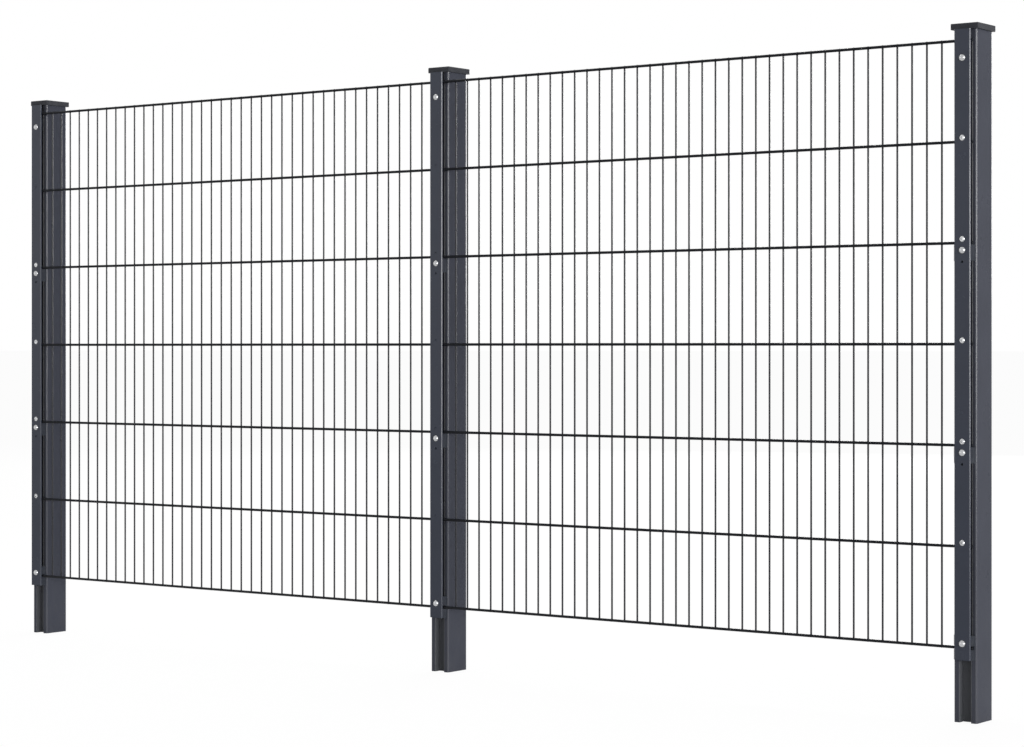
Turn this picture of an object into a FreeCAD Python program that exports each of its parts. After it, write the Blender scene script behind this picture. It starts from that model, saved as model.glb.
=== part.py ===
import FreeCAD, Part
import Sketcher
import os

# Two bays of welded rod mesh fence on three posts, in millimetres.
# X runs along the fence, -Y is the front that the clamp strips face, and +Z is up.
# The origin is the middle of the middle post's foot, at ground level.

# Driving dimensions: name, value, what it is
DIMENSIONS = (
    ("mesh_pitch", 33, "from one upright wire to the next"),
    ("meshes_along", 40, "meshes in one bay, from post centre to post centre"),
    ("row_pitch", 200, "from one row wire to the next"),
    ("row_gaps", 6, "meshes in the height of a panel"),
    ("ground_gap", 150, "axis of the bottom row wire above the ground"),
    ("upright_wire", 4, "upright wire, across its flats"),
    ("row_wire", 6, "row wire, across its flats"),
    ("upright_overhang", 3, "upright wire beyond the axes of the outer row wires"),
    ("row_overhang", 3.5, "row wire beyond the axis of the last upright wire"),
    ("panel_joint", 5, "gap between two panels on the middle post"),
    ("post_front", 50, "post tube, width along the fence"),
    ("post_depth", 70, "post tube, depth across the fence"),
    ("post_wall", 2, "post tube, wall"),
    ("post_corner", 4, "post tube, outer corner radius"),
    ("post_rise", 22.5, "post top above the axis of the top row wire"),
    ("upright_clearance", 0.2, "upright wire to the post's face behind it"),
    ("rail_width", 28, "fixing rail let into the post's front, outer width"),
    ("rail_depth", 18, "fixing rail, outer depth"),
    ("rail_wall", 2, "fixing rail, wall"),
    ("rail_round", 1.5, "fixing rail, inner edge radius of its two flanges"),
    ("strip_width", 35, "clamp strip, width"),
    ("strip_thickness", 4, "clamp strip, thickness"),
    ("strip_bevel", 1.5, "clamp strip, its two upright front edges"),
    ("strip_rise", 22, "clamp strip above the axis of the top row wire"),
    ("strip_drop", 25, "clamp strip below the axis of the bottom row wire"),
    ("spacer_leg", 2.5, "saddle spacer, its wall outside each upright wire"),
    ("spacer_bevel", 4, "saddle spacer, its two front edges"),
    ("top_spacer_bevel", 1.5, "top saddle spacer, its two front edges"),
    ("spacer_tongue", 4, "saddle spacer, depth of its tongue in the fixing rail"),
    ("spacer_over_bolt", 11, "saddle spacer, its top above its bolt"),
    ("spacer_under_bolt", 21, "saddle spacer, its foot below its bolt"),
    ("top_spacer_over_bolt", 23.5, "top saddle spacer, its top above its bolt"),
    ("top_spacer_under_bolt", 8.5, "top saddle spacer, its foot below its bolt"),
    ("top_spacer_gap", 1, "top saddle spacer to the upright wires beside it"),
    ("foot_spacer_rise", 24, "foot spacer above the axis of the bottom row wire"),
    ("saddle_clearance", 0.3, "spacer tongue to fixing rail, and spacer channel to wire"),
    ("bolt_hole", 7, "square hole for the neck of a main bolt, side"),
    ("screw_hole", 7, "hole for a small screw"),
    ("drain_hole", 5, "small open hole in a clamp strip"),
    ("top_bolt_drop", 35, "top bolt below the top row wire"),
    ("middle_bolt_drop", 15, "bolt below the row wire that it is next to"),
    ("foot_bolt_rise", 8.5, "foot bolt above the bottom row wire"),
    ("screw_rise", 7.5, "small screw above the row wire that it is next to"),
    ("drain_drop", 38, "small open hole below the row wire that it is next to"),
    ("cap_overhang", 0.8, "cap lid beyond the row wires' seat, on each side"),
    ("cap_corner", 2, "cap lid, corner radius"),
    ("cap_lid", 12, "cap lid, thickness"),
    ("cap_chamfer", 1, "cap lid, its top edge"),
    ("cap_plug", 25, "cap plug, depth in the tube"),
    ("cap_plug_wall", 2, "cap plug, wall"),
    ("cap_clearance", 0.3, "cap plug to the inside of the tube and to the fixing rail"),
)

# Sizes that follow from the driving dimensions
DERIVED = (
    ("post_pitch", "=mesh_pitch * meshes_along"),
    ("top_row", "=ground_gap + row_pitch * row_gaps"),
    ("post_height", "=top_row + post_rise"),
    ("seat_depth", "=upright_wire + upright_clearance"),
    ("face_y", "=-post_depth / 2"),
    ("seat_y", "=face_y - seat_depth"),
    ("strip_y", "=seat_y - row_wire"),
    ("row_y", "=seat_y - row_wire / 2"),
    ("upright_y", "=seat_y + upright_wire / 2"),
    ("hexagon_reach", "=1 / (2 * cos(30))"),
    ("upright_reach", "=upright_wire * hexagon_reach"),
    ("spacer_half", "=mesh_pitch / 2 + upright_reach + saddle_clearance + spacer_leg"),
    ("top_spacer_half", "=mesh_pitch / 2 - upright_reach - top_spacer_gap"),
    ("cap_lip", "=seat_depth + cap_overhang"),
)

POSTS = (("left", -1), ("middle", 0), ("right", 1))
BOLT_LEVELS = (
    ("top", "Sizes.top_row - Sizes.top_bolt_drop"),
    ("upper", "Sizes.top_row - 2 * Sizes.row_pitch - Sizes.middle_bolt_drop"),
    ("lower", "Sizes.top_row - 4 * Sizes.row_pitch - Sizes.middle_bolt_drop"),
    ("foot", "Sizes.ground_gap + Sizes.foot_bolt_rise"),
)
SCREW_LEVELS = [f"Sizes.ground_gap + {row} * Sizes.row_pitch + Sizes.screw_rise" for row in range(1, 6)]
DRAIN_LEVELS = [f"Sizes.top_row - {row} * Sizes.row_pitch - Sizes.drain_drop" for row in (2, 4)]
NEAR = 1e-6

doc = FreeCAD.newDocument("MeshFence")
pieces = []


def fill_sheet():
    """Write the driving dimensions and what follows from them, one alias a line."""
    sheet = doc.addObject("Spreadsheet::Sheet", "Sizes")
    rows = [(name, str(value)) for name, value, note in DIMENSIONS] + list(DERIVED)
    for line, (name, content) in enumerate(rows, 1):
        sheet.set(f"A{line}", name)
        sheet.set(f"B{line}", content)
        sheet.setAlias(f"B{line}", name)
    for line, (name, value, note) in enumerate(DIMENSIONS, 1):
        sheet.set(f"C{line}", note)
    doc.recompute()
    return sheet


def new_body(label, side=0):
    """A body at the left (-1), middle (0) or right (1) post, with its own label."""
    body = doc.addObject("PartDesign::Body", "Body_" + label)
    body.Label = label
    if side:
        body.setExpression("Placement.Base.x", f"{side} * Sizes.post_pitch")
    pieces.append(body)
    return body


def origin_feature(body, role):
    """A plane or axis of the body's own origin, by its role."""
    return next(feature for feature in body.Origin.OriginFeatures if feature.Role == role)


def new_feature(body, kind, name):
    """A feature of the body, which becomes its tip."""
    feature = body.newObject("PartDesign::" + kind, f"{kind}_{name}_{body.Label}")
    body.Tip = feature
    return feature


def new_sketch(body, name, role, offset):
    """A sketch on one of the body's origin planes, moved along its normal by an expression."""
    sketch = body.newObject("Sketcher::SketchObject", f"Sketch_{name}_{body.Label}")
    sketch.AttachmentSupport = [(origin_feature(body, role), "")]
    sketch.MapMode = "FlatFace"
    if offset:
        sketch.setExpression("AttachmentOffset.Base.z", offset)
    return sketch


def polygon(sketch, points):
    """A closed outline through points given as pairs of expressions, each measured from the origin."""
    count, first = len(points), sketch.GeometryCount
    spots = [FreeCAD.Vector(1 + index, (index * index) % count, 0) for index in range(count)]
    for index in range(count):
        sketch.addGeometry(Part.LineSegment(spots[index], spots[(index + 1) % count]))
    for index in range(count):
        following = first + (index + 1) % count
        sketch.addConstraint(Sketcher.Constraint("Coincident", first + index, 2, following, 1))
    for index, (across, along) in enumerate(points):
        for kind, expression in (("DistanceX", across), ("DistanceY", along)):
            number = sketch.addConstraint(Sketcher.Constraint(kind, -1, 1, first + index, 1, 1.0))
            sketch.setExpression(f"Constraints[{number}]", expression)


def rectangle(sketch, left, right, low, high):
    """A rectangle between four signed distances from the sketch's origin."""
    polygon(sketch, ((left, low), (right, low), (right, high), (left, high)))


def circles(sketch, levels, diameter):
    """Circles on the sketch's upright axis, at the given levels."""
    for index, level in enumerate(levels):
        sketch.addGeometry(Part.Circle(FreeCAD.Vector(0, 10 * (index + 1), 0), FreeCAD.Vector(0, 0, 1), 1))
        sketch.addConstraint(Sketcher.Constraint("PointOnObject", index, 3, -2))
        number = sketch.addConstraint(Sketcher.Constraint("DistanceY", -1, 1, index, 3, 1.0))
        sketch.setExpression(f"Constraints[{number}]", level)
        number = sketch.addConstraint(Sketcher.Constraint("Diameter", index, 2.0))
        sketch.setExpression(f"Constraints[{number}]", diameter)


def pad(body, name, sketch, length, backwards=False):
    """Raise the sketch along its normal, or the other way."""
    feature = new_feature(body, "Pad", name)
    feature.Profile = sketch
    feature.Reversed = backwards
    feature.setExpression("Length", length)
    doc.recompute()
    return feature


def pocket(body, name, sketch, length, along_normal=False):
    """Cut the sketch against its normal, or along it, and check that it did cut."""
    before = body.Tip.Shape.Volume
    feature = new_feature(body, "Pocket", name)
    feature.Profile = sketch
    feature.Reversed = along_normal
    feature.setExpression("Length", length)
    doc.recompute()
    if feature.Shape.Volume > before - NEAR:
        raise ValueError(f"{feature.Name} cuts nothing")
    return feature


def drill(body, name, front, depth, levels, diameter):
    """Round holes from the plane y = -front backwards to the given depth."""
    sketch = new_sketch(body, name, "XZ_Plane", front)
    circles(sketch, levels, diameter)
    pocket(body, name, sketch, depth)


def punch(body, front, depth, levels):
    """Square holes for the main bolts from the plane y = -front backwards by the given depth."""
    half = "Sizes.bolt_hole / 2"
    sketch = new_sketch(body, "bolts", "XZ_Plane", front)
    for level in levels:
        rectangle(sketch, "-" + half, half, f"{level} - {half}", f"{level} + {half}")
    pocket(body, "bolts", sketch, depth)


def upright_edges(shape, test):
    """Names of the straight edges along Z whose middle passes the test."""
    names = []
    for index, edge in enumerate(shape.Edges, 1):
        first, last = edge.Vertexes[0].Point, edge.Vertexes[-1].Point
        flat = abs(first.x - last.x) < NEAR and abs(first.y - last.y) < NEAR
        if flat and abs(first.z - last.z) > NEAR and test((first + last) / 2):
            names.append(f"Edge{index}")
    return names


def dress(body, kind, name, names, size):
    """A Fillet or a Chamfer on the named edges or faces of the tip."""
    base = body.Tip
    feature = new_feature(body, kind, name)
    feature.Base = (base, names)
    feature.setExpression({"Fillet": "Radius", "Chamfer": "Size"}[kind], size)
    doc.recompute()
    return feature


def front_edges(shape):
    """Names of the upright edges that lie in the shape's front plane."""
    front = shape.BoundBox.YMin + NEAR
    return upright_edges(shape, lambda middle: middle.y < front)


def level_faces(shape):
    """Names of the lowest and then the highest level face."""
    levels = []
    for index, face in enumerate(shape.Faces, 1):
        if face.BoundBox.ZLength < NEAR:
            levels.append((face.CenterOfMass.z, f"Face{index}"))
    return [min(levels)[1], max(levels)[1]]


def make_post(name, side):
    """A rectangular tube with rounded corners, its front wall slit for the fixing rail."""
    body = new_body("post_" + name, side)
    section = new_sketch(body, "section", "XY_Plane", None)
    half_front, half_depth = "Sizes.post_front / 2", "Sizes.post_depth / 2"
    rectangle(section, "-" + half_front, half_front, "-" + half_depth, half_depth)
    pad(body, "tube", section, "Sizes.post_height")
    corners = upright_edges(body.Tip.Shape, lambda middle: True)
    rounded = dress(body, "Fillet", "corners", corners, "Sizes.post_corner")
    shell = new_feature(body, "Thickness", "wall")
    shell.Base = (rounded, level_faces(rounded.Shape))
    shell.Reversed = True
    shell.setExpression("Value", "Sizes.post_wall")
    doc.recompute()
    slit = new_sketch(body, "slit", "XZ_Plane", "-Sizes.face_y")
    half_rail = "Sizes.rail_width / 2"
    rectangle(slit, "-" + half_rail, half_rail, "0", "Sizes.post_height")
    pocket(body, "slit", slit, half_depth)


def make_rail(name, side):
    """The channel let into the post's front, open to the front, which the bolts hold on to."""
    body = new_body("rail_" + name, side)
    section = new_sketch(body, "section", "XY_Plane", None)
    half, inside = "Sizes.rail_width / 2", "(Sizes.rail_width / 2 - Sizes.rail_wall)"
    front, back = "Sizes.face_y", "(Sizes.face_y + Sizes.rail_depth)"
    floor = f"({back} - Sizes.rail_wall)"
    channel = (
        ("-" + half, front),
        ("-" + inside, front),
        ("-" + inside, floor),
        (inside, floor),
        (inside, front),
        (half, front),
        (half, back),
        ("-" + half, back),
    )
    polygon(section, channel)
    pad(body, "channel", section, "Sizes.post_height")
    shape = body.Tip.Shape
    front_plane = shape.BoundBox.YMin + NEAR
    mouth = number_of_sheet("rail_width") / 2 - number_of_sheet("rail_wall") + NEAR
    lips = upright_edges(shape, lambda middle: middle.y < front_plane and abs(middle.x) < mouth)
    dress(body, "Fillet", "lips", lips, "Sizes.rail_round")
    punch(body, "-Sizes.face_y", "Sizes.rail_depth", [level for place, level in BOLT_LEVELS])


def make_clamp(name, side):
    """The flat strip that holds the mesh on the rail, with all its holes."""
    body = new_body("clamp_" + name, side)
    outline = new_sketch(body, "outline", "XZ_Plane", "-Sizes.strip_y")
    half = "Sizes.strip_width / 2"
    low, high = "Sizes.ground_gap - Sizes.strip_drop", "Sizes.top_row + Sizes.strip_rise"
    rectangle(outline, "-" + half, half, low, high)
    pad(body, "bar", outline, "Sizes.strip_thickness")
    dress(body, "Chamfer", "front", front_edges(body.Tip.Shape), "Sizes.strip_bevel")
    face, depth = "Sizes.strip_thickness - Sizes.strip_y", "Sizes.strip_thickness"
    punch(body, face, depth, [level for place, level in BOLT_LEVELS])
    drill(body, "screws", face, depth, SCREW_LEVELS, "Sizes.screw_hole")
    drill(body, "drains", face, depth, DRAIN_LEVELS, "Sizes.drain_hole")


def saddle_outline(half, channels):
    """Section of a saddle block: flat front, tongue behind, and a channel over each upright wire."""
    front, back = "Sizes.strip_y", "Sizes.face_y"
    tongue = "(Sizes.rail_width / 2 - Sizes.rail_wall - Sizes.saddle_clearance)"
    tip, roof = "(Sizes.face_y + Sizes.spacer_tongue)", "(Sizes.seat_y - Sizes.saddle_clearance)"
    reach = "(Sizes.upright_reach + Sizes.saddle_clearance)"
    near, far = f"(Sizes.mesh_pitch / 2 - {reach})", f"(Sizes.mesh_pitch / 2 + {reach})"
    over_wire = [(far, back), (far, roof), (near, roof), (near, back)] if channels else []
    right_side = [(half, front), (half, back)] + over_wire + [(tongue, back), (tongue, tip)]
    return right_side + [("-" + across, depth) for across, depth in reversed(right_side)]


def make_spacer(name, side, place, bolt, low, height):
    """A saddle block at a bolt, which fills the gap between strip and post and keys into the rail."""
    body = new_body(f"spacer_{name}_{place}", side)
    section = new_sketch(body, "section", "XY_Plane", low)
    beside_wires = place == "top"
    half = "Sizes.top_spacer_half" if beside_wires else "Sizes.spacer_half"
    bevel = "Sizes.top_spacer_bevel" if beside_wires else "Sizes.spacer_bevel"
    polygon(section, saddle_outline(half, channels=not beside_wires))
    pad(body, "block", section, height)
    dress(body, "Chamfer", "bevel", front_edges(body.Tip.Shape), bevel)
    punch(body, "-Sizes.strip_y", "Sizes.post_depth", [bolt])
    return body


def notch_for_wire(body):
    """A level channel through the foot spacer, which the bottom row wire lies in."""
    reach = "(Sizes.row_wire * Sizes.hexagon_reach + Sizes.saddle_clearance)"
    side_view = new_sketch(body, "notch", "YZ_Plane", "-2 * Sizes.spacer_half")
    front, back = "Sizes.strip_y - Sizes.strip_thickness", "Sizes.seat_y + Sizes.saddle_clearance"
    rectangle(side_view, front, back, "Sizes.ground_gap - " + reach, "Sizes.ground_gap + " + reach)
    pocket(body, "notch", side_view, "4 * Sizes.spacer_half", along_normal=True)


def make_spacers(name, side):
    """The four saddle blocks of one post."""
    for place, bolt in BOLT_LEVELS[:-1]:
        kind = "Sizes.top_spacer" if place == "top" else "Sizes.spacer"
        under, over = kind + "_under_bolt", kind + "_over_bolt"
        make_spacer(name, side, place, bolt, f"{bolt} - {under}", f"{under} + {over}")
    place, bolt = BOLT_LEVELS[-1]
    low = "Sizes.ground_gap - Sizes.strip_drop"
    height = "Sizes.foot_spacer_rise + Sizes.strip_drop"
    notch_for_wire(make_spacer(name, side, place, bolt, low, height))


def make_cap(name, side):
    """A push-in cap: a lid with a lip and a bevelled top, over a hollow plug behind the rail."""
    body = new_body("cap_" + name, side)
    level = "Sizes.post_height"
    lid_x = "(Sizes.post_front / 2 + Sizes.cap_lip)"
    lid_y = "(Sizes.post_depth / 2 + Sizes.cap_lip)"
    outline = new_sketch(body, "lid", "XY_Plane", level)
    rectangle(outline, "-" + lid_x, lid_x, "-" + lid_y, lid_y)
    pad(body, "lid", outline, "Sizes.cap_lid")
    corners = upright_edges(body.Tip.Shape, lambda middle: True)
    lid = dress(body, "Fillet", "corners", corners, "Sizes.cap_corner")
    dress(body, "Chamfer", "bevel", level_faces(lid.Shape)[-1:], "Sizes.cap_chamfer")
    inset = "(Sizes.post_wall + Sizes.cap_clearance)"
    plug_x, plug_back = f"(Sizes.post_front / 2 - {inset})", f"(Sizes.post_depth / 2 - {inset})"
    plug_front = "(Sizes.face_y + Sizes.rail_depth + Sizes.cap_clearance)"
    plug = new_sketch(body, "plug", "XY_Plane", level)
    rectangle(plug, "-" + plug_x, plug_x, plug_front, plug_back)
    pad(body, "plug", plug, "Sizes.cap_plug", backwards=True)
    low = body.Tip.Shape.BoundBox.ZMin
    under = number_of_sheet("post_height")
    corners = upright_edges(body.Tip.Shape, lambda middle: low < middle.z < under)
    dress(body, "Fillet", "plug_corners", corners, "Sizes.post_corner - Sizes.post_wall")
    wall = "Sizes.cap_plug_wall"
    hollow = new_sketch(body, "hollow", "XY_Plane", level + " - Sizes.cap_plug")
    sides = (f"{wall} - {plug_x}", f"{plug_x} - {wall}", f"{plug_front} + {wall}", f"{plug_back} - {wall}")
    rectangle(hollow, *sides)
    pocket(body, "hollow", hollow, "Sizes.cap_plug", along_normal=True)


def number_of_sheet(name):
    """The number that the sheet holds for one alias."""
    return float(doc.getObject("Sizes").get(name))


def wire(body, name, role, start, length, across, along, thickness, upright):
    """A six-sided wire with flats to the front and back, raised from a sketch around one point."""
    half, reach = f"{thickness} / 2", f"{thickness} * Sizes.hexagon_reach"
    if upright:
        ring = ((reach, "0"), (f"{reach} / 2", half), (f"-{reach} / 2", half))
    else:
        ring = (("0", f"-{reach}"), (half, f"-{reach} / 2"), (half, f"{reach} / 2"))
    around = [(f"{across} + ({dx})", f"{along} + ({dy})") for dx, dy in ring]
    around += [(f"{across} - ({dx})", f"{along} - ({dy})") for dx, dy in ring]
    sketch = new_sketch(body, name, role, start)
    polygon(sketch, around)
    return pad(body, name, sketch, length)


def repeat(body, name, feature, role, backwards, pitch, count):
    """Repeat a feature along one of the body's axes."""
    pattern = new_feature(body, "LinearPattern", name)
    pattern.Originals = [feature]
    pattern.Direction = (origin_feature(body, role), [""])
    pattern.Reversed = backwards
    pattern.setExpression("Length", f"{pitch} * ({count} - 1)")
    pattern.setExpression("Occurrences", count)
    doc.recompute()
    return pattern


def make_panel(name, side):
    """A welded mesh: level row wires in front, upright wires behind, joined flat to flat where they cross."""
    body = new_body("panel_" + name)
    first_x = "Sizes.mesh_pitch / 2"
    far_end = "(Sizes.post_pitch + Sizes.mesh_pitch / 2 + Sizes.row_overhang)"
    row_length = "Sizes.post_pitch + Sizes.mesh_pitch / 2 + Sizes.row_overhang - Sizes.panel_joint / 2"
    row_start = "Sizes.panel_joint / 2" if side > 0 else "-" + far_end
    upright_length = "Sizes.row_pitch * Sizes.row_gaps + 2 * Sizes.upright_overhang"
    upright_start = "Sizes.ground_gap - Sizes.upright_overhang"
    upright = wire(
        body, "upright", "XY_Plane", upright_start, upright_length,
        f"{side} * {first_x}", "Sizes.upright_y", "Sizes.upright_wire", upright=True,
    )
    row = wire(
        body, "row", "YZ_Plane", row_start, row_length,
        "Sizes.row_y", "Sizes.ground_gap", "Sizes.row_wire", upright=False,
    )
    repeat(body, "rows", row, "Z_Axis", False, "Sizes.row_pitch", "Sizes.row_gaps + 1")
    repeat(body, "uprights", upright, "X_Axis", side < 0, "Sizes.mesh_pitch", "Sizes.meshes_along + 1")


def check_and_write():
    """Stop on a failed object or a bad solid, then write one file a piece."""
    for item in doc.Objects:
        if "Invalid" in item.State or "Error" in item.State:
            raise ValueError(f"{item.Name} failed")
    os.makedirs("parts", exist_ok=True)
    for body in pieces:
        shape = body.Shape
        if shape.isNull() or not shape.isValid() or len(shape.Solids) != 1:
            raise ValueError(f"{body.Label} is not one valid solid")
        shape.exportStep(f"parts/{body.Label}.step")
        print(body.Label, round(shape.Volume), len(shape.Faces))


fill_sheet()
for post, side in POSTS:
    make_post(post, side)
    make_rail(post, side)
    make_clamp(post, side)
    make_spacers(post, side)
    make_cap(post, side)
make_panel("left", -1)
make_panel("right", 1)
doc.recompute()
check_and_write()
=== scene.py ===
"""Looks of a welded rod mesh fence: two bays on three square-cut posts, in metres.

X runs along the fence, -Y is the front with the clamp strips, +Z is up, and the ground is z = 0.
The solids carry posts, rails, strips, spacers and caps. This script gives each its finish, draws the
mesh as round welded wires, and adds the bolts, the screws and the plugs in the unused screw holes.
"""
import math
import bpy
import numpy as np
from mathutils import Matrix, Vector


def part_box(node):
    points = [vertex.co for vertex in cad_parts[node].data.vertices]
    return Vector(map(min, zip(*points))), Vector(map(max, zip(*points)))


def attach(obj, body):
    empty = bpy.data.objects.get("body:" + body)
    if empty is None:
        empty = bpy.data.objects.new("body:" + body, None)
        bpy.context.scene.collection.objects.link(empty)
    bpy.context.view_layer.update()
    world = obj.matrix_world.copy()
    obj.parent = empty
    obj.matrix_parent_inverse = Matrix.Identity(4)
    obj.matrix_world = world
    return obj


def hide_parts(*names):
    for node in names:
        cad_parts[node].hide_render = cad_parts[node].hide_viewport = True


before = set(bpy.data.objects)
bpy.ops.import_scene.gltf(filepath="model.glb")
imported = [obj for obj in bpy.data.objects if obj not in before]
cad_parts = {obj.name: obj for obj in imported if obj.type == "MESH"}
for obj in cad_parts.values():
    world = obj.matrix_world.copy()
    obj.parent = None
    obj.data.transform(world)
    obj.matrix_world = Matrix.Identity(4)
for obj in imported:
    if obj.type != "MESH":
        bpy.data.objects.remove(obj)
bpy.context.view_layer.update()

# Mesh: spacings, wire thicknesses, and how far the uprights sink into the level wires
MESH_PITCH = 0.033
ROW_PITCH = 0.200
ROW_WIRE = 0.0060
UPRIGHT_WIRE = 0.0040
UPRIGHT_OVERHANG = 0.003
WELD_SINK = 0.0006
WIRE_SIDES = 20
CUT_BEVEL = 0.0005

# Weld beads: half sizes along the fence, across it and up, and how much they vary
BEAD_HALF = np.array((0.0029, 0.0012, 0.0036))
BEAD_RINGS = 5
BEAD_SIDES = 10
BEAD_VARIATION = 0.10

# All heads: points along the dome, and the step between a head's rim and its stem
DOME_POINTS = 9
HEAD_STEP = 0.0001

# Main bolts: domed head over a square neck
BOLT_HEAD_RADIUS = 0.0074
BOLT_HEAD_HEIGHT = 0.0052
BOLT_RIM = 0.0006
BOLT_NECK = 0.0066
BOLT_SHANK_RADIUS = 0.0030
BOLT_LENGTH = 0.034
BOLT_SIDES = 32
TOP_BOLT_UNDER_SPACER = 0.0235
BOLT_UNDER_SPACER = 0.011
FOOT_BOLT_RISE = 0.0085

# Small screws: button head with a six-sided socket, and how many rows have one, from below
SCREW_HEAD_RADIUS = 0.0059
SCREW_HEAD_HEIGHT = 0.0034
SCREW_RIM = 0.0006
SOCKET_FLATS = 0.0048
SOCKET_DEPTH = 0.0026
SOCKET_CLEAR = 0.72 * SOCKET_FLATS
SCREW_SHANK_RADIUS = 0.0030
SCREW_LENGTH = 0.0155
SCREW_SIDES = 36
SCREW_RISE = 0.0075
SCREWED_ROWS = {"left": 4, "middle": 0, "right": 5}

# Blank plugs in the screw holes that are not used
PLUG_RADIUS = 0.00345
PLUG_LENGTH = 0.0030
PLUG_RECESS = 0.0003

# Angles between faces, in radians, from which an edge looks sharp
WIRE_CREASE = 0.7
HEAD_CREASE = 0.6
NO_CREASE = math.pi

POSTS = ("left", "middle", "right")
PANELS = ("left", "right")
TURN = 2 * np.pi


# Surfaces

def lathe(profile, sides, outline=None):
    """A closed surface turned about +Z.

    The point of ring i at angle v is (r_i f_i(v) cos v, r_i f_i(v) sin v, z_i) for each (r_i, z_i)
    of the profile, with f = 1 or, where outline gives one for the ring, that function of the angle.
    The first and last profile points lie on the axis and close the ends.
    """
    profile = np.asarray(profile, float)
    angle = TURN * np.arange(sides) / sides
    rings = profile[1:-1]
    factor = np.ones((len(rings), sides))
    for index, shape in (outline or {}).items():
        factor[index - 1] = shape(angle)
    radius = rings[:, :1] * factor
    height = np.broadcast_to(rings[:, 1:], radius.shape)
    body = np.stack((radius * np.cos(angle), radius * np.sin(angle), height), axis=-1).reshape(-1, 3)
    low, high = (0, 0, profile[0, 1]), (0, 0, profile[-1, 1])
    points = np.vstack((low, body, high))
    here = np.arange(sides)
    following = (here + 1) % sides
    base = 1 + sides * np.arange(len(rings) - 1)[:, None]
    corners = (base + here, base + following, base + sides + following, base + sides + here)
    quads = np.stack(corners, axis=-1).reshape(-1, 4)
    last = 1 + sides * (len(rings) - 1)
    bottom = np.stack((np.zeros(sides, int), 1 + following, 1 + here), axis=-1)
    top = np.stack((np.full(sides, len(points) - 1), last + here, last + following), axis=-1)
    return points, quads, np.vstack((bottom, top))


def square_outline(angle):
    """Distance to a square's edge over its half side: 1 / max(|cos v|, |sin v|)."""
    return 1 / np.maximum(np.abs(np.cos(angle)), np.abs(np.sin(angle)))


def hexagon_outline(angle):
    """Distance to a hexagon's edge over its half width: 1 / cos of the angle from the nearest flat."""
    from_flat = (angle + np.pi / 6) % (np.pi / 3) - np.pi / 6
    return 1 / np.cos(from_flat)


def dome(radius, height, rim):
    """Points (r, z) of a domed head over z = 0: a short upright rim, then an arc of a circle.

    The arc's circle has the radius b = (r^2 + h^2) / 2h for a dome that is r wide and h high over
    the rim, and its points are (b sin t, rim + h - b (1 - cos t)) from t = asin(r / b) down to 0.
    """
    rise = height - rim
    ball = (radius ** 2 + rise ** 2) / (2 * rise)
    reach = math.asin(radius / ball)
    tilt = np.linspace(reach, 0, DOME_POINTS)
    arc = np.stack((ball * np.sin(tilt), rim + rise - ball * (1 - np.cos(tilt))), axis=-1)
    return [(radius, 0.0)] + [tuple(point) for point in arc]


def placed(surface, turns, places):
    """Copies of one surface: every point p becomes turn p + place, as whole arrays."""
    points, quads, tris = surface
    turns = np.broadcast_to(turns, (len(places), 3, 3))
    moved = np.einsum("nij,pj->npi", turns, points) + np.asarray(places)[:, None, :]
    offset = len(points) * np.arange(len(places))[:, None, None]
    return moved.reshape(-1, 3), (quads + offset).reshape(-1, 4), (tris + offset).reshape(-1, 3)


def joined(surfaces):
    """Several surfaces as one, with each one's face numbers moved up by the points before it."""
    points, quads, tris, count = [], [], [], 0
    for one_points, one_quads, one_tris in surfaces:
        points.append(one_points)
        quads.append(one_quads + count)
        tris.append(one_tris + count)
        count += len(one_points)
    return np.vstack(points), np.vstack(quads), np.vstack(tris)


def make_piece(name, surface, material, crease=WIRE_CREASE):
    """A mesh object at the origin from points, quads and triangles, which rides with the fence."""
    points, quads, tris = surface
    mesh = bpy.data.meshes.new(name)
    loops = np.concatenate((quads.ravel(), tris.ravel())).astype(np.int32)
    sizes = np.concatenate((np.full(len(quads), 4), np.full(len(tris), 3))).astype(np.int32)
    starts = (np.cumsum(sizes) - sizes).astype(np.int32)
    mesh.vertices.add(len(points))
    mesh.vertices.foreach_set("co", np.asarray(points, np.float32).ravel())
    mesh.loops.add(len(loops))
    mesh.loops.foreach_set("vertex_index", loops)
    mesh.polygons.add(len(sizes))
    mesh.polygons.foreach_set("loop_start", starts)
    mesh.polygons.foreach_set("loop_total", sizes)
    mesh.polygons.foreach_set("use_smooth", np.ones(len(sizes), bool))
    mesh.update(calc_edges=True)
    mesh.validate()
    mesh.set_sharp_from_angle(angle=crease)
    mesh.materials.append(material)
    piece = bpy.data.objects.new(name, mesh)
    bpy.context.scene.collection.objects.link(piece)
    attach(piece, "root")
    return piece


# Node helpers

# Colour sockets of the mix node by number, and the range that most noise values lie in
MIX_FIRST = "6"
MIX_SECOND = "7"
MIX_RESULT = 2
NOISE_LOW = 0.3
NOISE_HIGH = 0.7


def new_group(name, inputs, outputs):
    """An empty shader node group with the given sockets, and its input and output nodes."""
    group = bpy.data.node_groups.new(name, "ShaderNodeTree")
    for label, value in inputs:
        kind = "NodeSocketColor" if isinstance(value, tuple) else "NodeSocketFloat"
        socket = group.interface.new_socket(label, in_out="INPUT", socket_type=kind)
        socket.default_value = value
    for label in outputs:
        kind = "NodeSocketColor" if label == "Color" else "NodeSocketFloat"
        group.interface.new_socket(label, in_out="OUTPUT", socket_type=kind)
    return group, group.nodes.new("NodeGroupInput"), group.nodes.new("NodeGroupOutput")


def send_out(tree, result, **sockets):
    """Link each named value to a group's output."""
    for label, socket in sockets.items():
        tree.links.new(socket, result.inputs[label])


def node(tree, kind, settings=None, **inputs):
    """A node with its settings, and with each named input set to a value or linked to a socket."""
    made = tree.nodes.new(kind)
    for label, value in (settings or {}).items():
        setattr(made, label, value)
    for label, value in inputs.items():
        connect(tree, made, label.replace("_", " "), value)
    return made


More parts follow.
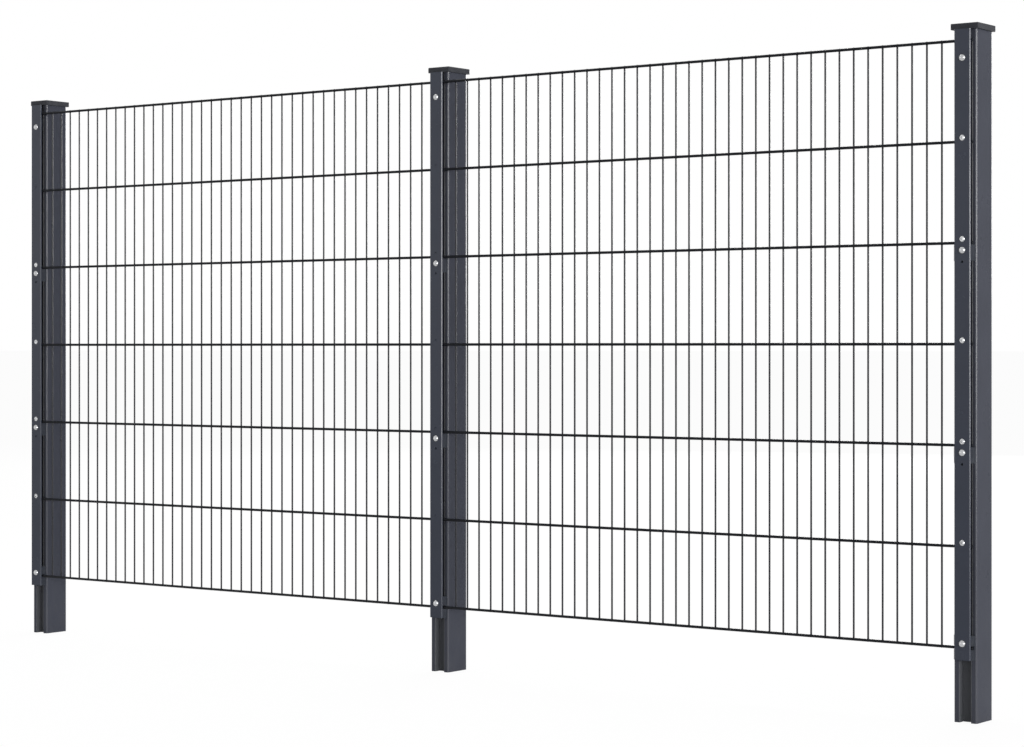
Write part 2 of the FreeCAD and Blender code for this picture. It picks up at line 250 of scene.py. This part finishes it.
def connect(tree, target, label, value):
    """Set or link one input, found by its name or by its number as text."""
    socket = target.inputs[int(label)] if label.isdigit() else target.inputs[label]
    if isinstance(value, bpy.types.NodeSocket):
        tree.links.new(value, socket)
    else:
        socket.default_value = value


def object_place(tree):
    """The object coordinates, which are metres of the fence."""
    return tree.nodes.new("ShaderNodeTexCoord").outputs["Object"]


def noise(tree, place, scale, detail, rough=0.5):
    """A noise pattern's value, on the given coordinates."""
    made = node(tree, "ShaderNodeTexNoise", Vector=place, Scale=scale, Detail=detail, Roughness=rough)
    return made.outputs["Fac"]


def math_node(tree, operation, first, second):
    """The result of one sum on two values."""
    made = tree.nodes.new("ShaderNodeMath")
    made.operation = operation
    connect(tree, made, "0", first)
    connect(tree, made, "1", second)
    return made.outputs[0]


def absolute(tree, value):
    """A value without its sign."""
    return math_node(tree, "ABSOLUTE", value, 0.0)


def span(tree, value, low, high, to_low, to_high):
    """The value carried from one span to another, held at its ends."""
    made = node(tree, "ShaderNodeMapRange", Value=value)
    for label, number in (("From Min", low), ("From Max", high), ("To Min", to_low), ("To Max", to_high)):
        connect(tree, made, label, number)
    return made.outputs["Result"]


def mask(tree, value, low, high):
    """0 where the value is under low, 1 where it is over high, and a ramp between."""
    return span(tree, value, low, high, 0.0, 1.0)


def spread(tree, value, to_low, to_high):
    """A noise value, whose usual range is carried to the given span."""
    return span(tree, value, NOISE_LOW, NOISE_HIGH, to_low, to_high)


def blend_colours(tree, share, first, second):
    """First colour turning into the second as the share goes from 0 to 1."""
    made = node(tree, "ShaderNodeMix", {"data_type": "RGBA"}, Factor=share)
    connect(tree, made, MIX_FIRST, first)
    connect(tree, made, MIX_SECOND, second)
    return made.outputs[MIX_RESULT]


# Powder coat

# Posts: how far apart they stand, and how softly the gloss of their corners fades in
POST_PITCH = 1.320
CORNER_FADE = 0.0002
CORNER_ROUGHNESS = 0.18

# Patterns: scales are in repeats a metre, and the rest says how far each moves tone or roughness
CLOUD_SCALE = 9.0
FLECK_SCALE = 2600.0
FLECK_SHARE = 0.35
DUST_SCALE = 30.0
DUST_FROM = 0.35
DUST_FULL = 0.75
DUST_COLOUR = (0.16, 0.155, 0.145, 1.0)
SMEAR_SCALE = 22.0
SMEAR_REACH = 0.05


def corner_mask(tree, parts, reach):
    """1 on outer corners: where |x from the nearest post| + |y| passes the reach."""
    bay = math_node(tree, "ADD", parts.outputs["X"], POST_PITCH / 2)
    bay = math_node(tree, "FLOORED_MODULO", bay, POST_PITCH)
    aside = absolute(tree, math_node(tree, "SUBTRACT", bay, POST_PITCH / 2))
    distance = math_node(tree, "ADD", aside, absolute(tree, parts.outputs["Y"]))
    past = math_node(tree, "SUBTRACT", distance, reach)
    return mask(tree, past, -CORNER_FADE, CORNER_FADE)


def coat_group():
    """Powder coat: orange peel, faint clouds in tone and gloss, dust low down, and a mask of corners."""
    inputs = (
        ("Base", (0.05, 0.055, 0.07, 1.0)),
        ("Cloud", 0.05),
        ("Peel Size", 700.0),
        ("Gloss", 0.42),
        ("Dust", 0.10),
        ("Dust Height", 0.25),
        ("Corner Reach", 0.0562),
    )
    group, given, result = new_group("powder_coat", inputs, ("Color", "Roughness", "Height", "Corner"))
    place = object_place(group)
    parts = group.nodes.new("ShaderNodeSeparateXYZ")
    group.links.new(place, parts.inputs[0])
    tone = spread(group, noise(group, place, CLOUD_SCALE, detail=4.0), -1.0, 1.0)
    fleck = spread(group, noise(group, place, FLECK_SCALE, detail=1.0), -FLECK_SHARE, FLECK_SHARE)
    lift = math_node(group, "MULTIPLY", math_node(group, "ADD", tone, fleck), given.outputs["Cloud"])
    bright = node(group, "ShaderNodeHueSaturation", Color=given.outputs["Base"])
    connect(group, bright, "Value", math_node(group, "ADD", lift, 1.0))
    low_down = span(group, parts.outputs["Z"], 0.0, given.outputs["Dust Height"], 1.0, 0.0)
    patch = mask(group, noise(group, place, DUST_SCALE, detail=6.0, rough=0.65), DUST_FROM, DUST_FULL)
    lying = math_node(group, "MULTIPLY", low_down, patch)
    dust = math_node(group, "MULTIPLY", lying, given.outputs["Dust"])
    smears = noise(group, place, SMEAR_SCALE, detail=5.0, rough=0.6)
    smear = spread(group, smears, -SMEAR_REACH, SMEAR_REACH)
    rough = math_node(group, "ADD", math_node(group, "ADD", given.outputs["Gloss"], smear), dust)
    send_out(
        group,
        result,
        Color=blend_colours(group, dust, bright.outputs["Color"], DUST_COLOUR),
        Roughness=rough,
        Height=noise(group, place, given.outputs["Peel Size"], detail=2.0, rough=0.55),
        Corner=corner_mask(group, parts, given.outputs["Corner Reach"]),
    )
    return group


# Moulded plastic

# How far from its cell's middle a pebble ends, then the flow pattern and the scuffs it makes
PEBBLE_EDGE = 0.6
FLOW_SCALE = 60.0
FLOW_REACH = 0.06
SCUFF_FROM = 0.45
SCUFF_FULL = 0.75
SCUFF_COLOUR = (0.14, 0.145, 0.155, 1.0)


def grain_group():
    """Moulded plastic: eroded grain, and a flow pattern that moves the gloss and scuffs it lighter."""
    inputs = (
        ("Base", (0.03, 0.032, 0.036, 1.0)),
        ("Grain Size", 900.0),
        ("Gloss", 0.5),
        ("Scuff", 0.15),
    )
    group, given, result = new_group("moulded_grain", inputs, ("Color", "Roughness", "Height"))
    place = object_place(group)
    cells = node(group, "ShaderNodeTexVoronoi", Vector=place, Scale=given.outputs["Grain Size"])
    flow = noise(group, place, FLOW_SCALE, detail=4.0)
    wavy = spread(group, flow, -FLOW_REACH, FLOW_REACH)
    worn = mask(group, flow, SCUFF_FROM, SCUFF_FULL)
    scuff = math_node(group, "MULTIPLY", worn, given.outputs["Scuff"])
    send_out(
        group,
        result,
        Color=blend_colours(group, scuff, given.outputs["Base"], SCUFF_COLOUR),
        Roughness=math_node(group, "ADD", given.outputs["Gloss"], wavy),
        Height=span(group, cells.outputs["Distance"], 0.0, PEBBLE_EDGE, 1.0, 0.0),
    )
    return group


# Stainless steel

# Dark specks, and how far the forming marks move the roughness
SPECK_SCALE = 700.0
SPECK_FROM = 0.62
SPECK_FULL = 0.72
SPECK_COLOUR = (0.25, 0.25, 0.26, 1.0)
MARK_SMOOTHER = -0.06
MARK_ROUGHER = 0.08


def steel_group():
    """Cold-formed stainless steel: soft forming marks and a few darker specks."""
    inputs = (
        ("Base", (0.46, 0.465, 0.475, 1.0)),
        ("Mark Size", 1500.0),
        ("Gloss", 0.20),
        ("Specks", 0.25),
    )
    group, given, result = new_group("formed_steel", inputs, ("Color", "Roughness", "Height"))
    place = object_place(group)
    marks = noise(group, place, given.outputs["Mark Size"], detail=3.0, rough=0.6)
    specks = mask(group, noise(group, place, SPECK_SCALE, detail=2.0), SPECK_FROM, SPECK_FULL)
    share = math_node(group, "MULTIPLY", specks, given.outputs["Specks"])
    worn = spread(group, marks, MARK_SMOOTHER, MARK_ROUGHER)
    send_out(
        group,
        result,
        Color=blend_colours(group, share, given.outputs["Base"], SPECK_COLOUR),
        Roughness=math_node(group, "ADD", given.outputs["Gloss"], worn),
        Height=marks,
    )
    return group


# Colours and finishes

# Bump depths in metres
PEEL_DEPTH = 0.00002
CAP_GRAIN_DEPTH = 0.00006
SPACER_GRAIN_DEPTH = 0.00005
MARK_DEPTH = 0.00001


def finish_material(name, group, depth, metallic=0.0, corner_gloss=0.0, specular=0.5, **values):
    """A Principled material fed by one of the finish groups, with the group's height as bump."""
    material = bpy.data.materials.new(name)
    material.use_nodes = True
    tree = material.node_tree
    shader = tree.nodes["Principled BSDF"]
    texture = tree.nodes.new("ShaderNodeGroup")
    texture.node_tree = group
    for label, value in values.items():
        texture.inputs[label.replace("_", " ")].default_value = value
    bump = node(tree, "ShaderNodeBump", Height=texture.outputs["Height"], Distance=depth, Strength=1.0)
    tree.links.new(texture.outputs["Color"], shader.inputs["Base Color"])
    tree.links.new(texture.outputs["Roughness"], shader.inputs["Roughness"])
    tree.links.new(bump.outputs["Normal"], shader.inputs["Normal"])
    if corner_gloss:
        weight = math_node(tree, "MULTIPLY", texture.outputs["Corner"], corner_gloss)
        tree.links.new(weight, shader.inputs["Coat Weight"])
        shader.inputs["Coat Roughness"].default_value = CORNER_ROUGHNESS
    shader.inputs["Metallic"].default_value = metallic
    shader.inputs["Specular IOR Level"].default_value = specular
    return material


COAT = coat_group()
GRAIN = grain_group()
STEEL = steel_group()
post_coat = finish_material(
    "post_coat",
    COAT,
    PEEL_DEPTH,
    corner_gloss=0.7,
    specular=0.03,
    Base=(0.056, 0.060, 0.077, 1.0),
    Gloss=0.30,
    Corner_Reach=0.0567,
)
# The channel rail gets a lighter copy of the post's powder coat: the lighter base is painted light on the
# channel's inner walls.
rail_coat = finish_material(
    "rail_coat", COAT, PEEL_DEPTH, specular=0.05, Base=(0.100, 0.105, 0.116, 1.0), Gloss=0.35
)
strip_coat = finish_material(
    "strip_coat",
    COAT,
    PEEL_DEPTH,
    corner_gloss=0.5,
    specular=0.19,
    Base=(0.036, 0.042, 0.061, 1.0),
    Gloss=0.24,
    Corner_Reach=0.0650,
)
mesh_coat = finish_material(
    "mesh_coat", COAT, PEEL_DEPTH, specular=0.28, Base=(0.006, 0.007, 0.011, 1.0), Gloss=0.30
)
# The level wires and the weld beads get a darker, duller copy of the mesh coat: the darker base is painted
# shade on them.
row_painted_shade_coat = finish_material(
    "row_painted_shade_coat", COAT, PEEL_DEPTH, specular=0.10, Base=(0.004, 0.005, 0.008, 1.0), Gloss=0.30
)
cap_plastic = finish_material(
    "cap_plastic", GRAIN, CAP_GRAIN_DEPTH, specular=0.09, Base=(0.036, 0.038, 0.045, 1.0), Gloss=0.42
)
spacer_plastic = finish_material(
    "spacer_plastic",
    GRAIN,
    SPACER_GRAIN_DEPTH,
    specular=0.12,
    Base=(0.024, 0.028, 0.038, 1.0),
    Grain_Size=1300.0,
    Gloss=0.50,
)
stainless = finish_material("stainless_steel", STEEL, MARK_DEPTH, metallic=1.0)

NODE_FINISHES = {
    "post": post_coat,
    "rail": rail_coat,
    "clamp": strip_coat,
    "spacer": spacer_plastic,
    "cap": cap_plastic,
    "panel": mesh_coat,
}


def dress_solids():
    """Give every solid the finish that its name begins with."""
    for name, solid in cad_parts.items():
        solid.data.materials.clear()
        solid.data.materials.append(NODE_FINISHES[name.split("_")[0]])


# The welded mesh

def rod(radius, length):
    """A straight round wire along +Z from z = 0, with bevelled cut ends."""
    profile = (
        (0, 0),
        (radius - CUT_BEVEL, 0),
        (radius, CUT_BEVEL),
        (radius, length - CUT_BEVEL),
        (radius - CUT_BEVEL, length),
        (0, length),
    )
    return lathe(profile, WIRE_SIDES)


def bead():
    """A weld bead: the unit ball (cos t cos v, cos t sin v, sin t), which each place stretches."""
    tilt = np.linspace(-np.pi / 2, np.pi / 2, BEAD_RINGS + 2)
    profile = np.stack((np.cos(tilt), np.sin(tilt)), axis=-1)
    return lathe(profile, BEAD_SIDES)


def mesh_layout(name):
    """Row and upright axes of one panel, worked out from its solid's box."""
    low, high = (np.array(corner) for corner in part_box("panel_" + name))
    seat_y = low[1] + ROW_WIRE
    row_count = round((high[2] - low[2] - 2 * UPRIGHT_OVERHANG) / ROW_PITCH) + 1
    rows = low[2] + UPRIGHT_OVERHANG + ROW_PITCH * np.arange(row_count)
    side = 1 if high[0] > 0 else -1
    reach = max(abs(low[0]), abs(high[0]))
    upright_count = int((reach - MESH_PITCH / 2) / MESH_PITCH) + 1
    uprights = side * (MESH_PITCH / 2 + MESH_PITCH * np.arange(upright_count))
    return low, high, rows, uprights, seat_y


def make_mesh(name):
    """One panel: level wires in front, upright wires behind them and a bead at every crossing."""
    low, high, rows, uprights, seat_y = mesh_layout(name)
    row_y = seat_y - ROW_WIRE / 2
    upright_y = seat_y + UPRIGHT_WIRE / 2 - WELD_SINK
    along_x = np.array(((0, 0, 1), (0, 1, 0), (-1, 0, 0)), float)
    row_places = np.stack(np.broadcast_arrays(low[0], row_y, rows), axis=-1)
    upright_places = np.stack(np.broadcast_arrays(uprights, upright_y, low[2]), axis=-1)
    level = placed(rod(ROW_WIRE / 2, high[0] - low[0]), along_x, row_places)
    standing = placed(rod(UPRIGHT_WIRE / 2, high[2] - low[2]), np.eye(3), upright_places)
    wires = make_piece("mesh_wires_" + name, joined((level, standing)), mesh_coat)
    # The level wires take the darker copy of the mesh coat, which is painted shade.
    wires.data.materials.append(row_painted_shade_coat)
    wires.data.polygons.foreach_set("material_index", wire_materials(level, standing))
    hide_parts("panel_" + name)
    across, up = np.meshgrid(uprights, rows)
    places = np.stack((across.ravel(), np.full(across.size, seat_y), up.ravel()), axis=-1)
    chance = np.random.default_rng(len(name))
    size = 1 + BEAD_VARIATION * chance.uniform(-1, 1, (len(places), 3))
    stretch = np.eye(3) * (BEAD_HALF * size)[:, None, :]
    make_piece("weld_beads_" + name, placed(bead(), stretch, places), row_painted_shade_coat, NO_CREASE)


def wire_materials(level, standing):
    """The material number of each face of the joined wires: 1, the darker copy with painted shade, on level
    ones, 0 on uprights.
    """
    quads_then_tris = ((level[1], 1), (standing[1], 0), (level[2], 1), (standing[2], 0))
    numbers = [np.full(len(faces), number) for faces, number in quads_then_tris]
    return np.concatenate(numbers).astype(np.int32)


# Bolts, screws and plugs

def to_front():
    """The turn that takes +Z to the front of the fence, -Y."""
    return np.array(((1, 0, 0), (0, 0, -1), (0, 1, 0)), float)


def main_bolt():
    """A domed head over z = 0, with its square neck and round shank below."""
    head = dome(BOLT_HEAD_RADIUS, BOLT_HEAD_HEIGHT, BOLT_RIM)
    neck_end = -depth_of("clamp_middle")
    stem = [
        (0, -BOLT_LENGTH),
        (BOLT_SHANK_RADIUS, -BOLT_LENGTH),
        (BOLT_SHANK_RADIUS, neck_end),
        (BOLT_NECK / 2, neck_end),
        (BOLT_NECK / 2, -HEAD_STEP),
    ]
    neck_rings = (len(stem) - 2, len(stem) - 1)
    return lathe(stem + head, BOLT_SIDES, dict.fromkeys(neck_rings, square_outline))


def small_screw():
    """A button head over z = 0 with a six-sided socket, and its shank below."""
    head = dome(SCREW_HEAD_RADIUS, SCREW_HEAD_HEIGHT, SCREW_RIM)
    outside = [point for point in head if point[0] > SOCKET_CLEAR]
    top = outside[-1][1]
    stem = [
        (0, -SCREW_LENGTH),
        (SCREW_SHANK_RADIUS, -SCREW_LENGTH),
        (SCREW_SHANK_RADIUS, -HEAD_STEP),
    ]
    socket = [
        (SOCKET_FLATS / 2, top),
        (SOCKET_FLATS / 2, top - SOCKET_DEPTH),
        (0, top - SOCKET_DEPTH),
    ]
    profile = stem + outside + socket
    socket_rings = (len(profile) - 3, len(profile) - 2)
    return lathe(profile, SCREW_SIDES, dict.fromkeys(socket_rings, hexagon_outline))


def depth_of(name):
    """Depth of a solid across the fence."""
    low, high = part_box(name)
    return high[1] - low[1]


def bolt_levels(post):
    """Heights of one post's main bolts, each worked out from the spacer that it passes."""
    levels = [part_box(f"spacer_{post}_top")[1][2] - TOP_BOLT_UNDER_SPACER]
    levels += [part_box(f"spacer_{post}_{place}")[1][2] - BOLT_UNDER_SPACER for place in ("upper", "lower")]
    bottom_row = mesh_layout("left")[2][0]
    return levels + [bottom_row + FOOT_BOLT_RISE]


def make_fasteners():
    """Main bolts on every strip, and a small screw over each inner row from below, or else a plug."""
    bolts, screws, plugs = [], [], []
    inner_rows = mesh_layout("left")[2][1:-1]
    for post in POSTS:
        low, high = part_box("clamp_" + post)
        middle = (low[0] + high[0]) / 2
        bolts += [(middle, low[1], level) for level in bolt_levels(post)]
        plug_back = low[1] + PLUG_RECESS + PLUG_LENGTH
        screwed = SCREWED_ROWS[post]
        screws += [(middle, low[1], level + SCREW_RISE) for level in inner_rows[:screwed]]
        plugs += [(middle, plug_back, level + SCREW_RISE) for level in inner_rows[screwed:]]
    turn = to_front()
    plug = rod(PLUG_RADIUS, PLUG_LENGTH)
    headed = (("main_bolts", main_bolt(), bolts), ("strip_screws", small_screw(), screws))
    for name, surface, places in headed:
        make_piece(name, placed(surface, turn, places), stainless, HEAD_CREASE)
    make_piece("hole_plugs", placed(plug, turn, plugs), strip_coat)


# Camera

CAMERA_PLACE = (3.5445, -4.5632, 0.7436)
CAMERA_YAW = 36.40
CAMERA_LENS = 88.23
CAMERA_SIGHT = 2000.0
SENSOR = 36.0
IMAGE_WIDTH = 1024
IMAGE_HEIGHT = 747
HORIZON_ROW = 347.1


def make_camera():
    """A level camera, shifted so that the horizon lies on its row of the image."""
    data = bpy.data.cameras.new("camera")
    data.sensor_width = SENSOR
    data.lens = CAMERA_LENS
    data.shift_y = (HORIZON_ROW - IMAGE_HEIGHT / 2) / IMAGE_WIDTH
    data.clip_end = CAMERA_SIGHT
    camera = bpy.data.objects.new("camera", data)
    camera.location = CAMERA_PLACE
    camera.rotation_euler = (math.pi / 2, 0, math.radians(CAMERA_YAW))
    bpy.context.scene.collection.objects.link(camera)
    bpy.context.scene.camera = camera


# Floor and background

WHITE = (1.0, 1.0, 1.0, 1.0)
FLOOR_HALF = 400.0
FLOOR_PAINT = (0.60, 0.60, 0.60, 1.0)
FLOOR_GLOW = 0.90
FLOOR_STRENGTH = 1.05
SKY_LOW = -0.1
SKY_HIGH = 0.9
SKY_LOW_LIGHT = 0.14
SKY_HIGH_LIGHT = 0.55


def seen_rays(tree):
    """1 for rays that the camera sees straight, mirrored or through something, and 0 for light."""
    ray = tree.nodes.new("ShaderNodeLightPath")
    seen = math_node(tree, "MAXIMUM", ray.outputs["Is Camera Ray"], ray.outputs["Is Glossy Ray"])
    return math_node(tree, "MAXIMUM", seen, ray.outputs["Is Transmission Ray"])


def mix_shaders(tree, share, first, second, output):
    """First shader turning into the second as the share goes from 0 to 1, sent to the output."""
    mix = node(tree, "ShaderNodeMixShader", Fac=share)
    tree.links.new(first.outputs[0], mix.inputs[1])
    tree.links.new(second.outputs[0], mix.inputs[2])
    tree.links.new(mix.outputs[0], tree.nodes[output].inputs["Surface"])


def make_floor():
    """A pale floor that looks almost white to the camera and in reflections, and keeps shadows."""
    corners = FLOOR_HALF * np.array(((-1, -1, 0), (1, -1, 0), (1, 1, 0), (-1, 1, 0)), float)
    mesh = bpy.data.meshes.new("floor")
    mesh.from_pydata(corners.tolist(), [], [(0, 1, 2, 3)])
    floor = bpy.data.objects.new("floor", mesh)
    bpy.context.scene.collection.objects.link(floor)
    material = bpy.data.materials.new("floor")
    material.use_nodes = True
    tree = material.node_tree
    tree.nodes.remove(tree.nodes["Principled BSDF"])
    paint = node(tree, "ShaderNodeBsdfDiffuse", Color=FLOOR_PAINT)
    glow = node(tree, "ShaderNodeEmission", Color=WHITE, Strength=FLOOR_STRENGTH)
    share = math_node(tree, "MULTIPLY", seen_rays(tree), FLOOR_GLOW)
    mix_shaders(tree, share, paint, glow, "Material Output")
    mesh.materials.append(material)


def make_world():
    """Soft light that falls from bright overhead to dim at the horizon, and white to the camera."""
    world = bpy.data.worlds.new("studio")
    bpy.context.scene.world = world
    world.use_nodes = True
    tree = world.node_tree
    direction = tree.nodes.new("ShaderNodeTexCoord").outputs["Generated"]
    parts = tree.nodes.new("ShaderNodeSeparateXYZ")
    tree.links.new(direction, parts.inputs[0])
    light = tree.nodes["Background"]
    level = span(tree, parts.outputs["Z"], SKY_LOW, SKY_HIGH, SKY_LOW_LIGHT, SKY_HIGH_LIGHT)
    connect(tree, light, "Color", WHITE)
    connect(tree, light, "Strength", level)
    white = node(tree, "ShaderNodeBackground", Color=WHITE, Strength=1.0)
    mix_shaders(tree, seen_rays(tree), light, white, "World Output")


# Lamps

def soft_box(name, place, aim_height, width, height, power):
    """A rectangular lamp that faces the middle post at the given height."""
    data = bpy.data.lights.new(name, "AREA")
    data.shape = "RECTANGLE"
    data.size = width
    data.size_y = height
    data.energy = power
    lamp = bpy.data.objects.new(name, data)
    bpy.context.scene.collection.objects.link(lamp)
    lamp.location = place
    aim = np.array((0, 0, aim_height), float) - np.array(place, float)
    yaw = math.atan2(aim[1], aim[0]) - math.pi / 2
    pitch = math.atan2(aim[2], math.hypot(aim[0], aim[1]))
    lamp.rotation_euler = (math.pi / 2 + pitch, 0, yaw)


def light_the_fence():
    """A wide key box at the right, and weaker ones at the left, the side, overhead and behind."""
    soft_box("key", place=(14.0, -7.4, 2.0), aim_height=0.8, width=10.5, height=4.2, power=1400.0)
    soft_box("front", place=(-5.6, -7.4, 1.9), aim_height=0.8, width=7.5, height=3.2, power=60.0)
    soft_box("side", place=(14.0, 4.5, 3.0), aim_height=0.7, width=4.0, height=4.0, power=450.0)
    soft_box("overhead", place=(-1.0, 1.5, 5.0), aim_height=0.7, width=5.0, height=2.5, power=100.0)
    soft_box("rear", place=(-3.0, 11.0, 3.0), aim_height=0.7, width=6.0, height=4.0, power=750.0)


make_camera()
make_floor()
make_world()
light_the_fence()
dress_solids()
for panel in PANELS:
    make_mesh(panel)
make_fasteners()

scene = bpy.context.scene
scene.view_settings.view_transform = "Standard"
